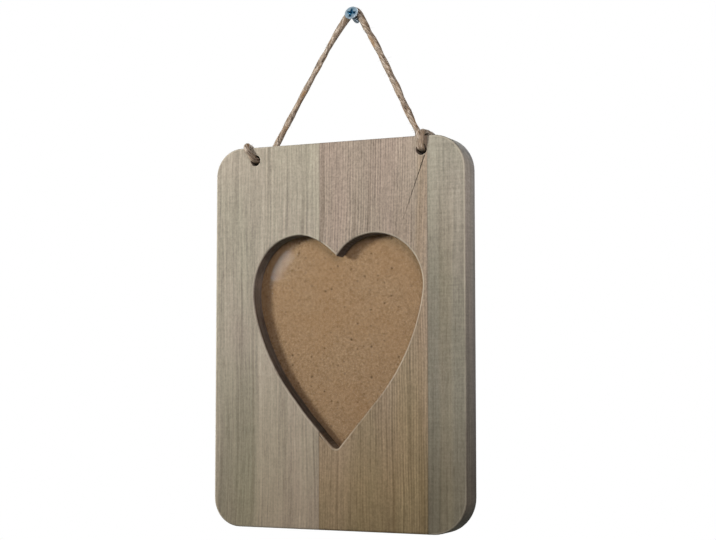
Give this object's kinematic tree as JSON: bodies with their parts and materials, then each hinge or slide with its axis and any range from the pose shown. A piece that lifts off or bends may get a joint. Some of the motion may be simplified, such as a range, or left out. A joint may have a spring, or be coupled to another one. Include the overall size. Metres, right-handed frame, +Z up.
{
  "type": "hanging picture frame",
  "caption": "Rustic hanging wooden picture frame with a heart-shaped opening, glass, a removable back held by turn buttons, and a jute twine hanger over a wall screw.",
  "frame": {"origin": "where the axis of the wall screw meets the wall, the point that the frame hangs from", "axes": "+Z up, +Y into the wall, so the frame's front faces -Y, and +X to the viewer's right"},
  "size_m": [0.15, 0.0334, 0.2897],
  "materials": {
    "wood_grey": "weathered grey-beige stained softwood, matt",
    "wood_pinkish": "weathered pinkish-brown stained softwood, matt",
    "wood_greenish": "weathered greenish-grey stained softwood, matt",
    "glass": "clear, polished",
    "hardboard": "plain brown fibreboard, matt",
    "zinc_steel": "bright zinc plate",
    "jute": "twisted, hairy jute"
  },
  "bodies": {
    "wall_screw": {"hanging_screw": "zinc_steel"},
    "frame": {"stave_left": "wood_grey", "stave_middle": "wood_pinkish", "stave_right": "wood_greenish", "glazing_pane": "glass", "backing_board": "hardboard", "button_screw_1": "zinc_steel", "button_screw_2": "zinc_steel", "button_screw_3": "zinc_steel", "button_screw_4": "zinc_steel", "hanging_twine": "jute", "left_hitch": "jute", "right_hitch": "jute"},
    "button_1": {"turn_button_1": "zinc_steel"},
    "button_2": {"turn_button_2": "zinc_steel"},
    "button_3": {"turn_button_3": "zinc_steel"},
    "button_4": {"turn_button_4": "zinc_steel"}
  },
  "joints": [
    {"name": "frame_swing", "type": "hinge", "parent": "wall_screw", "child": "frame", "pos_m": [0, -0.002, 0.00073], "axis": [0, 1, 0], "range_deg": [-25, 25]},
    {"name": "button_1_turn", "type": "hinge", "parent": "frame", "child": "button_1", "pos_m": [-0.025, -0.0102, -0.0805], "axis": [0, 1, 0], "continuous": true},
    {"name": "button_2_turn", "type": "hinge", "parent": "frame", "child": "button_2", "pos_m": [0.025, -0.0102, -0.0805], "axis": [0, 1, 0], "continuous": true},
    {"name": "button_3_turn", "type": "hinge", "parent": "frame", "child": "button_3", "pos_m": [-0.025, -0.0102, -0.2755], "axis": [0, 1, 0], "continuous": true},
    {"name": "button_4_turn", "type": "hinge", "parent": "frame", "child": "button_4", "pos_m": [0.025, -0.0102, -0.2755], "axis": [0, 1, 0], "continuous": true}
  ]
}
